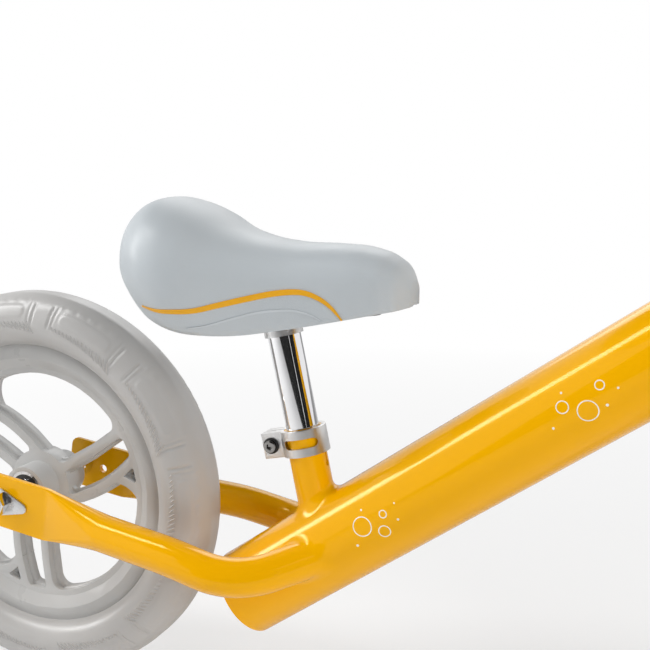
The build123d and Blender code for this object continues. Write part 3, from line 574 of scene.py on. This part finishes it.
def makeRibs(axle, name, body):
    # groups of short slanted ribs moulded in both side walls
    half = tyreHalf()
    radii, widths = np.array(half[2:]).T
    order = np.argsort(radii)
    slant = math.radians(ribs["slant"])
    rows = []
    for number in range(ribs["count"]):
        share = number / (ribs["count"] - 1)
        start = math.radians(ribs["spread"]) * (0.5 - share)
        length = ribs["shortest"] + (ribs["longest"] - ribs["shortest"]) * share
        for offset, lift in ((-1, -1), (0, 1), (1, -1)):
            row = []
            for step in np.linspace(0, 1, ribs["stations"]):
                across = offset * ribs["halfWidth"]
                run = step * length * math.cos(slant) + across * math.sin(slant)
                radius = ribs["top"] - step * length * math.sin(slant) + across * math.cos(slant)
                angle = start - run / radius
                raised = ribs["rise"] * min(1, 4 * step * (1 - step) + 0.05)
                height = raised if lift > 0 else -ribs["sink"]
                wide = np.interp(radius, radii[order], widths[order])
                normal = np.array([radius - tyre["heart"], wide])
                normal /= np.linalg.norm(normal)
                radius = (radius + height * normal[0]) * tyre["held"]
                row.append((radius * math.cos(angle), -(wide + height * normal[1]),
                            radius * math.sin(angle)))
            rows.append(row)
    freshStart()
    bpy.ops.mesh.primitive_grid_add(x_subdivisions=ribs["stations"] - 1,
                                    y_subdivisions=len(rows) - 1, size=1)
    band = bpy.context.object
    setPoints(band, np.array(rows).reshape(-1, 3))
    editAll(band)
    for _ in range(1, tyre["groups"]):
        bpy.ops.mesh.duplicate()
        bpy.ops.transform.rotate(value=2 * math.pi / tyre["groups"], orient_axis="Y",
                                 center_override=(0, 0, 0))
    leaveEdit()
    modify(band, "MIRROR", use_axis=(False, True, False), use_mirror_merge=False)
    setPoints(band, points(band) + np.array(axle))
    smoothByAngle(band, 25)
    return dress(band, name, body, "tyre_foam", foam)


rearRibs = makeRibs(rearAxle, "rear_tyre_ribs", "rear_wheel")
dress(twin(rearRibs, frontAxle - rearAxle), "front_tyre_ribs", "front_wheel", "tyre_foam", foam)
print("tyres made:", len(rearTyre.data.polygons), "faces each")


# ---- saddle: a closed form from stations along its length

saddle = {
    # the rear end and base line in metres and the rise in degrees; the other sizes in millimetres
    "rear": -0.2255, "height": 0.2755, "rise": 4.94, "baseLift": 3,
    "baseStart": 50, "baseEnd": 184, "inset": 7.6, "around": 96, "along": 110,
    # turns at which the pocket's roof, its wall and the lower rim end, and the widest line comes
    "roofTurn": 0.30, "wallTurn": 0.42, "rimTurn": 0.60, "wideTurn": 1.35,
    # reach from the rear, half width, top, widest line, lower edge, then the share of the width
    # kept at the lower edge
    "stations": [
        (0, 6, 50, 43, 36, 0.80), (3, 22, 62, 43, 30, 0.72), (9, 36, 72, 42, 24, 0.70),
        (18, 48, 80.5, 42, 17, 0.70), (31, 59, 85.3, 42, 10, 0.74), (46, 64, 83, 40, 4.5, 0.79),
        (61, 63, 77, 37, 1, 0.84), (78, 57, 67.5, 33, -0.5, 0.88), (98, 49.5, 61, 30, 0, 0.92),
        (126, 41, 57, 30, 4, 0.95), (153, 35.5, 56.5, 32, 9, 0.96), (175, 31, 54.5, 33, 13.5, 0.97),
        (189, 26.5, 49.5, 32, 16.3, 0.97), (197, 20.5, 43, 30, 17.7, 0.97),
        (202, 11, 34, 27, 18.8, 0.97),
    ],
}


def cubic(share, gap, start, startSlope, end, endSlope):
    # from one known value to the next, with the slope known at both
    return ((2 * share ** 3 - 3 * share ** 2 + 1) * start
            + (share ** 3 - 2 * share ** 2 + share) * gap * startSlope
            + (3 * share ** 2 - 2 * share ** 3) * end
            + (share ** 3 - share ** 2) * gap * endSlope)


def stationAt(reach):
    table = np.array(saddle["stations"])
    known = table[:, 0]
    slopes = np.gradient(table, known, axis=0)
    index = int(np.clip(np.searchsorted(known, reach) - 1, 0, len(known) - 2))
    gap = known[index + 1] - known[index]
    share = (reach - known[index]) / gap
    return cubic(share, gap, table[index], slopes[index], table[index + 1],
                 slopes[index + 1])[1:]


def saddlePoint(reach, turn):
    # turn 0 is under the middle, pi is on top, both sides alike; result is (y, z) in millimetres
    half, top, widest, lower, share = stationAt(reach)
    side = 1 if turn <= math.pi else -1
    turn = turn if turn <= math.pi else 2 * math.pi - turn
    rise = math.tan(math.radians(saddle["rise"]))
    ceiling = max(saddle["baseLift"] + reach * rise, lower)
    inside = saddle["baseStart"] < reach < saddle["baseEnd"]
    deep = ceiling if inside else lower + 0.4
    rim = half * share
    innerRim = max(rim - saddle["inset"], 0.3 * rim)
    roof, wall, low, wide = [saddle[key] for key in ("roofTurn", "wallTurn", "rimTurn", "wideTurn")]
    if turn < roof:
        return side * innerRim * turn / roof, deep
    if turn < wall:
        return side * innerRim, deep + (lower - deep) * (turn - roof) / (wall - roof)
    if turn < low:
        return side * (innerRim + (rim - innerRim) * (turn - wall) / (low - wall)), lower
    if turn < wide:
        back = (wide - turn) / (wide - low)
        return side * half * (1 - (1 - share) * back ** 2), widest - (widest - lower) * back
    angle = math.pi / 2 * (turn - wide) / (math.pi - wide)
    return (side * half * max(math.cos(angle), 0) ** 0.85,
            widest + (top - widest) * math.sin(angle) ** 0.9)


def makeSaddle():
    length = saddle["stations"][-1][0]
    reaches = [length * (1 - math.cos(math.pi * step / saddle["along"])) / 2
               for step in range(saddle["along"] + 1)]
    freshStart()
    bpy.ops.mesh.primitive_uv_sphere_add(segments=saddle["around"], ring_count=saddle["along"],
                                         radius=1)
    cover = bpy.context.object
    co = points(cover)
    placed = np.empty_like(co)
    for number, (x, y, z) in enumerate(co):
        ringNumber = int(round(math.acos(max(-1, min(1, z))) / math.pi * saddle["along"]))
        reach = reaches[ringNumber]
        if ringNumber in (0, saddle["along"]):
            _, _, widest, lower, _ = stationAt(reach)
            across, up = 0, (widest + lower) / 2
        else:
            across, up = saddlePoint(reach, math.atan2(y, x) % (2 * math.pi))
        placed[number] = (saddle["rear"] + reach / 1000, across / 1000,
                          saddle["height"] + up / 1000)
    setPoints(cover, placed)
    cleanMesh(cover)
    smoothByAngle(cover, 60)
    return dress(cover, "saddle_skin", "seat", "saddle_skin", saddleSkin, "saddle_cover")


saddleCover = makeSaddle()

# thin films on both sides: reach and height along the middle, and width, in millimetres
stripes = {
    "upper": {
        "reach": [37, 48.7, 58.3, 74.6, 90, 106, 122, 134.8, 143.5, 152, 159, 165],
        "height": [17.3, 15.6, 15.4, 16.3, 20, 23.9, 27.4, 28.8, 28.1, 24.6, 19.2, 11.8],
        "width": 3.7, "finish": yellowFilm,
    },
    "lower": {
        "reach": [68.7, 81.2, 97.5, 113.7, 130.4, 139, 147.4, 152.6],
        "height": [4.5, 6.4, 11.2, 15.5, 17.2, 16.5, 13.8, 10.8],
        "width": 1.5, "finish": paleFilm,
    },
}


# the films' own sizes, in metres
film = {"lift": 0.00018, "thick": 0.00035, "along": 89, "across": 6, "taper": 0.45}


def smoothThrough(values, share):
    # cubic through evenly spaced values
    values = np.array(values, float)
    known = np.linspace(0, 1, len(values))
    slopes = np.gradient(values, known)
    index = np.clip((share * (len(known) - 1)).astype(int), 0, len(known) - 2)
    gap = known[1]
    return cubic((share - known[index]) / gap, gap, values[index], slopes[index],
                 values[index + 1], slopes[index + 1])


def makeStripe(which, side, name):
    design = stripes[which]
    share = np.linspace(0, 1, film["along"] + 1)
    reach = smoothThrough(design["reach"], share)
    height = smoothThrough(design["height"], share)
    along = np.stack([np.gradient(reach), np.gradient(height)], axis=1)
    along /= np.linalg.norm(along, axis=1)[:, None]
    inside = np.clip(share, 0.02, 0.98)
    width = design["width"] * np.clip(np.sin(np.pi * inside) ** film["taper"], 0.1, 1)
    mesh = saddleCover.data
    tree = BVHTree.FromPolygons([v.co for v in mesh.vertices], [p.vertices for p in mesh.polygons])
    freshStart()
    bpy.ops.mesh.primitive_grid_add(x_subdivisions=film["along"], y_subdivisions=film["across"],
                                    size=1)
    band = bpy.context.object
    co = points(band)
    placed = np.empty_like(co)
    for number, (x, y, _) in enumerate(co):
        step = int(round((x + 0.5) * film["along"]))
        across = y * width[step]
        r = reach[step] - along[step, 1] * across
        h = height[step] + along[step, 0] * across
        start = Vector((saddle["rear"] + r / 1000, side * 0.2, saddle["height"] + h / 1000))
        place, normal, _, _ = tree.ray_cast(start, Vector((0, -side, 0)))
        if place is None:
            place, normal, _, _ = tree.find_nearest(start)
        placed[number] = place + normal * film["lift"]
    setPoints(band, placed)
    cleanMesh(band)
    modify(band, "SOLIDIFY", thickness=film["thick"], offset=-1)
    cleanMesh(band)
    smoothByAngle(band, 60)
    return dress(band, name, "seat", "saddle_skin", design["finish"])


for sideName, side in (("right", -1), ("left", 1)):
    makeStripe("upper", side, f"saddle_upper_stripe_{sideName}")
    makeStripe("lower", side, f"saddle_lower_stripe_{sideName}")
print("saddle made")


# ---- frame tubes with flattened ends, and the smooth welds between the tubes

tube = {
    "radius": 0.0127, "halfThick": 0.002, "halfHigh": 0.01925, "back": 0.012, "front": 0.036,
    "corner": 0.005, "edge": 0.0012, "opens": 0.050, "crease": 0.10, "around": 64,
    "axleHole": 0.006, "smallHole": 0.00325, "smallHoleReach": 0.019, "middle": 0.0497,
    # distances of the rounded end's first sections from its tip
    "tip": [0, 0.0003, 0.0010, 0.0021, 0.0034, 0.0050, 0.0085],
}
# routes from the axle: forwards, outwards and up in metres, then how wide each bend is
stayRoute = {
    "points": [(0, 0.0497, 0), (0.07319, 0.0497, -0.01094), (0.140, 0.0575, -0.018),
               (0.190, 0.060, -0.029), (0.246, 0.006, -0.014)],
    "bends": [0.016, 0.014, 0.027],
}
legRoute = {
    "points": [(0, 0.0497, 0), (-0.029457, 0.0497, 0.067884), (-0.064636, 0.042, 0.150387)],
    "bends": [0.016],
}
mainTube = {
    "radius": 0.030, "foot": Vector((-0.0831744, 0, 0.1265)),
    "axis": Vector((0.818551, 0, 0.574434)),
}
seatTube = {
    "radius": 0.013, "foot": mainTube["foot"], "axis": Vector((-0.206204, 0, 0.978509)),
    "forward": Vector((0.978509, 0, 0.206204)), "rise": 0.08329, "weld": 0.0085,
    "postRoom": 0.0119,
}


def bentPath(route, step=0.0012):
    # points along a route whose corners are rounded, evenly spaced
    corners = [np.array(point) for point in route["points"]]
    way = [corners[0]]
    for before, corner, after, reach in zip(corners, corners[1:], corners[2:], route["bends"]):
        back = (before - corner) / np.linalg.norm(before - corner)
        on = (after - corner) / np.linalg.norm(after - corner)
        first, last = corner + back * reach, corner + on * reach
        way += [first * (1 - t) ** 2 + corner * 2 * t * (1 - t) + last * t * t
                for t in np.linspace(0, 1, 14)]
    way.append(corners[-1])
    way = np.array(way)
    run = np.concatenate([[0], np.cumsum(np.linalg.norm(np.diff(way, axis=0), axis=1))])
    stations = np.arange(0, run[-1], step)
    return stations, np.stack([np.interp(stations, run, way[:, i]) for i in range(3)], axis=1)


def plateSection(halfHigh):
    # out and up, starting low on the outer face: face, top edge, face, bottom edge
    quarter = tube["around"] // 4
    thick, edge = tube["halfThick"], tube["edge"]
    flat = halfHigh - edge
    turn = np.linspace(0, math.pi, quarter, endpoint=False)
    high = np.linspace(-flat, flat, quarter, endpoint=False)
    wide = thick * np.sign(np.cos(turn)) * np.abs(np.cos(turn)) ** 0.45
    tall = flat + edge * np.sin(turn) ** 0.45
    face = np.stack([np.full(quarter, thick), high], axis=1)
    top = np.stack([wide, tall], axis=1)
    return np.concatenate([face, top, -face, -top])


def roundSection():
    quarter = tube["around"] // 4
    spans = [(-8, 8), (8, 172), (172, 188), (188, 352)]
    turn = np.radians(np.concatenate([np.linspace(a, b, quarter, endpoint=False)
                                      for a, b in spans]))
    return tube["radius"] * np.stack([np.cos(turn), np.sin(turn)], axis=1)


def makeFlatEndedTube(name, node, body, axle, side, route):
    stations, path = bentPath(route)
    heading = (path[3] - path[0]) / np.linalg.norm(path[3] - path[0])
    backs = np.array(tube["tip"]) - tube["back"]
    reaches = np.concatenate([backs, stations])
    centres = np.concatenate([path[0] + backs[:, None] * heading, path])
    along = np.gradient(centres, axis=0)
    along /= np.linalg.norm(along, axis=1)[:, None]
    rings = []
    roundShape = roundSection()
    for reach, centre, t in zip(reaches, centres, along):
        fromEnd = reach + tube["back"]
        cut = 0
        if fromEnd < tube["corner"]:
            cut = tube["corner"] - math.sqrt(tube["corner"] ** 2 - (tube["corner"] - fromEnd) ** 2)
        share = min(1, max(0, (reach - tube["front"]) / tube["opens"]))
        # eases out of the crease and into the round tube
        soft = tube["crease"]
        share = share ** 2 / (2 * soft) if share < soft else share - soft / 2
        share = min(1, share / (1 - soft / 2))
        share = share * (1.35 - 0.35 * share)
        section = plateSection(tube["halfHigh"] - cut) * (1 - share) + roundShape * share
        out = np.array([0, 1, 0]) - t[1] * t
        out /= np.linalg.norm(out)
        up = np.cross(t, out)
        ring = centre + section[:, :1] * out + section[:, 1:] * up
        rings.append(np.concatenate([ring, ring[:1]]))
    rings = np.array(rings)
    rings[:, :, 1] *= side
    freshStart()
    bpy.ops.mesh.primitive_grid_add(x_subdivisions=len(rings) - 1, y_subdivisions=tube["around"],
                                    size=1)
    piece = bpy.context.object
    # the grid's points run along x first
    setPoints(piece, rings.transpose(1, 0, 2).reshape(-1, 3) + np.array(axle))
    editAll(piece)
    bpy.ops.mesh.remove_doubles(threshold=0.00001)
    bpy.ops.mesh.fill_holes(sides=0)
    bpy.ops.mesh.select_all(action="SELECT")
    bpy.ops.mesh.normals_make_consistent(inside=False)
    leaveEdit()
    middle = Vector((0, side * tube["middle"], 0)) + axle
    drills = [(middle + Vector(heading) * reach, radius, 0.012, (math.pi / 2, 0, 0))
              for reach, radius in ((0, tube["axleHole"]),
                                    (tube["smallHoleReach"], tube["smallHole"]))]
    if route is stayRoute:
        # leaves the seat post room to slide down
        drills.append((seatTube["foot"], seatTube["postRoom"], 0.12,
                       seatTube["axis"].to_track_quat("Z", "Y").to_euler()))
    for place, radius, depth, turn in drills:
        freshStart()
        bpy.ops.mesh.primitive_cylinder_add(vertices=40, radius=radius, depth=depth,
                                            location=place, rotation=turn)
        drill = bpy.context.object
        modify(piece, "BOOLEAN", operation="DIFFERENCE", solver="EXACT", object=drill)
        bpy.data.objects.remove(drill)
    smoothByAngle(piece, 30)
    return dress(piece, name, body, "frame_paint", gloss, node)


for sideName, side in (("right", -1), ("left", 1)):
    makeFlatEndedTube(f"{sideName}_stay_finish", f"{sideName}_stay", "frame", rearAxle, side,
                      stayRoute)
    makeFlatEndedTube(f"{sideName}_fork_leg_finish", f"{sideName}_fork_leg", "fork", frontAxle,
                      side, legRoute)


def outOfMain(point, direction):
    # how far along the direction a line leaves the main tube
    axis = mainTube["axis"]
    start = point - mainTube["foot"]
    start = start - axis * start.dot(axis)
    move = direction - axis * direction.dot(axis)
    a, b, c = move.dot(move), 2 * start.dot(move), start.dot(start) - mainTube["radius"] ** 2
    return (-b + math.sqrt(b * b - 4 * a * c)) / (2 * a)


# metres, and points round and across a fillet
weld = {"around": 96, "across": 9, "uneven": 0.05, "ripples": 5, "inset": 0.0006, "sunk": 0.0012,
        "skin": 0.0001, "staySize": 0.006, "headFrom": 0.1}


def makeWeld(name, foot, direction, radius, size):
    # hollow fillet round a tube where it meets the main tube
    direction = direction.normalized()
    first = direction.orthogonal().normalized()
    second = direction.cross(first)
    rows = []
    for turn in np.linspace(0, 2 * math.pi, weld["around"] + 1):
        away = first * math.cos(turn) + second * math.sin(turn)
        leg = size * (1 + weld["uneven"] * math.sin(weld["ripples"] * turn))
        reach = outOfMain(foot + away * radius, direction)
        far = outOfMain(foot + away * (radius + leg), direction)
        low = foot + away * (radius - weld["inset"]) + direction * (reach - weld["sunk"])
        corner = foot + away * radius + direction * reach
        top = foot + away * (radius - weld["skin"]) + direction * (reach + leg)
        rim = foot + away * (radius + leg) + direction * (far - weld["skin"])
        row = [low]
        for t in np.linspace(0, 1, weld["across"]):
            row.append(top * (1 - t) ** 2 + corner * (2 * t * (1 - t)) + rim * t * t)
        row.append(low)
        rows.append(row)
    freshStart()
    bpy.ops.mesh.primitive_grid_add(x_subdivisions=len(rows[0]) - 1,
                                    y_subdivisions=weld["around"], size=1)
    fillet = bpy.context.object
    setPoints(fillet, np.array(rows).reshape(-1, 3))
    cleanMesh(fillet)
    smoothByAngle(fillet, 70)
    fillet.name = name
    return fillet


fillets = [makeWeld("seatWeld", seatTube["foot"], seatTube["axis"], seatTube["radius"],
                    seatTube["weld"])]
for side in (-1, 1):
    start, end = [Vector((p[0], side * p[1], p[2])) for p in stayRoute["points"][-2:]]
    fillets.append(makeWeld("stayWeld", rearAxle + end, start - end, tube["radius"],
                            weld["staySize"]))
# the bead round the head tube is kept from the frame's own welds
headBead = softCopy("frame_welds", 0.0006)
onlyThis(headBead)
for vertex in headBead.data.vertices:
    vertex.select = vertex.co.x < weld["headFrom"]
bpy.ops.object.mode_set(mode="EDIT")
bpy.ops.mesh.delete(type="VERT")
leaveEdit()
joinInto(headBead, fillets)
dress(headBead, "frame_weld_fillets", "frame", "frame_paint", gloss, "frame_welds")
print("tubes and welds made")


# ---- seat clamp: a longer window, and a dark ring under the bolt's head

clamp = {
    "height": 0.0175, "edge": 0.0007, "windowLength": 0.0225, "windowHeight": 0.0064,
    "windowCorner": 0.0028, "windowForward": 0.0018, "throughBoth": 0.06, "boltBack": 0.022,
    "halfEar": 0.008, "ringRadius": 0.0047, "ringThick": 0.0009, "ringOut": 0.0004,
}
clampMiddle = seatTube["foot"] + seatTube["axis"] * (seatTube["rise"] - clamp["height"] / 2)


def makeClamp():
    piece = softCopy("seat_clamp", clamp["edge"])
    freshStart()
    bpy.ops.mesh.primitive_cube_add(size=1)
    cutter = bpy.context.object
    cutter.scale = (clamp["windowLength"], clamp["throughBoth"], clamp["windowHeight"])
    settle(cutter)
    modify(cutter, "BEVEL", width=clamp["windowCorner"], segments=4, affect="EDGES",
           limit_method="ANGLE")
    turned = np.array([seatTube["forward"], (0, 1, 0), seatTube["axis"]])
    centre = clampMiddle + seatTube["forward"] * clamp["windowForward"]
    setPoints(cutter, np.array(centre) + points(cutter) @ turned)
    modify(piece, "BOOLEAN", operation="DIFFERENCE", solver="EXACT", object=cutter)
    bpy.data.objects.remove(cutter)
    smoothByAngle(piece, 35)
    dress(piece, "seat_clamp_finish", "frame", "matt_aluminium", blasted, "seat_clamp")


def makeBoltRing():
    # rubber ring between the bolt's head and the ear
    place = (clampMiddle - seatTube["forward"] * clamp["boltBack"]
             - Vector((0, clamp["halfEar"] + clamp["ringOut"], 0)))
    freshStart()
    bpy.ops.mesh.primitive_torus_add(major_radius=clamp["ringRadius"],
                                     minor_radius=clamp["ringThick"], major_segments=48,
                                     minor_segments=12, location=place,
                                     rotation=(math.pi / 2, 0, 0))
    ring = bpy.context.object
    settle(ring)
    smoothByAngle(ring, 60)
    dress(ring, "seat_clamp_ring", "frame", "black_steel", sealRubber)


makeClamp()
makeBoltRing()
print("seat clamp made")


# ---- white rings and dots scattered on the main tube

motif = {
    "line": 0.00034, "rise": 0.00012,
    # along the tube from the seat tube, up from its widest line, radius
    "rings": [(0.046, 0.003, 0.0062), (0.0575, -0.0065, 0.0038), (0.063, 0.0035, 0.0024),
              (0.196, 0.006, 0.0036), (0.2075, -0.003, 0.0060), (0.221, 0.0065, 0.0027)],
    "dots": [(0.036, -0.006, 0.0009), (0.0505, 0.0125, 0.0007), (0.070, -0.004, 0.0008),
             (0.0735, 0.006, 0.0006), (0.185, -0.002, 0.0008), (0.1995, 0.0135, 0.0007),
             (0.2185, -0.0055, 0.0009), (0.229, 0.000, 0.0007)],
}


def wrapOnMain(piece, run, high, side):
    # lays a small flat shape on the main tube's side
    co = points(piece)
    turn = (high + co[:, 1]) / mainTube["radius"]
    axis = np.array(mainTube["axis"])
    upward = np.array((-axis[2], 0, axis[0]))
    outward = np.array((0, side, 0))
    away = np.cos(turn)[:, None] * outward + np.sin(turn)[:, None] * upward
    setPoints(piece, np.array(mainTube["foot"]) + (run + co[:, :1]) * axis
              + away * (mainTube["radius"] + co[:, 2:]))


shapes = []
for side in (-1, 1):
    for run, high, radius in motif["rings"]:
        freshStart()
        bpy.ops.mesh.primitive_torus_add(major_radius=radius, minor_radius=motif["line"],
                                         major_segments=56, minor_segments=8)
        ring = bpy.context.object
        ring.scale = (1, 1, motif["rise"] / motif["line"])
        settle(ring)
        wrapOnMain(ring, run, high, side)
        shapes.append(ring)
    for run, high, radius in motif["dots"]:
        freshStart()
        bpy.ops.mesh.primitive_uv_sphere_add(segments=20, ring_count=8, radius=radius)
        dot = bpy.context.object
        dot.scale = (1, 1, motif["rise"] / radius)
        settle(dot)
        wrapOnMain(dot, run, high, side)
        shapes.append(dot)
tubePrint = shapes[0]
joinInto(tubePrint, shapes[1:])
cleanMesh(tubePrint, 0.000001)
smoothByAngle(tubePrint, 60)
dress(tubePrint, "main_tube_print", "frame", "frame_paint", whitePrint)
print("print laid on the main tube")


# ---- hard pieces with their edges rounded

softEdges = {
    "stem_clamp": 0.0007, "seat_clamp_bolt": 0.0003,
    "stem_clamp_bolt": 0.0003, "seat_clamp_nut": 0.0003, "stem_clamp_nut": 0.0003,
    "rear_axle_nuts": 0.0004, "front_axle_nuts": 0.0004, "rear_axle_washers": 0.0004,
    "front_axle_washers": 0.0004, "rear_cone_nuts": 0.0004, "front_cone_nuts": 0.0004,
    "headset_locknut": 0.0006, "headset_cone": 0.0005, "upper_headset_cup": 0.0006,
    "lower_headset_cup": 0.0006, "crown_race": 0.0004, "fork_crown": 0.0015,
    "left_grip": 0.0015, "right_grip": 0.0015, "rear_rim": 0.0009, "front_rim": 0.0009,
}
for nodeName, width in softEdges.items():
    piece = softCopy(nodeName, width)
    skin = darkChrome if nodeName.endswith("clamp_bolt") else finishes[slotOf[nodeName]]
    dress(piece, nodeName + "_finish", bodyOf[nodeName], slotOf[nodeName], skin, nodeName)
print("edges rounded")
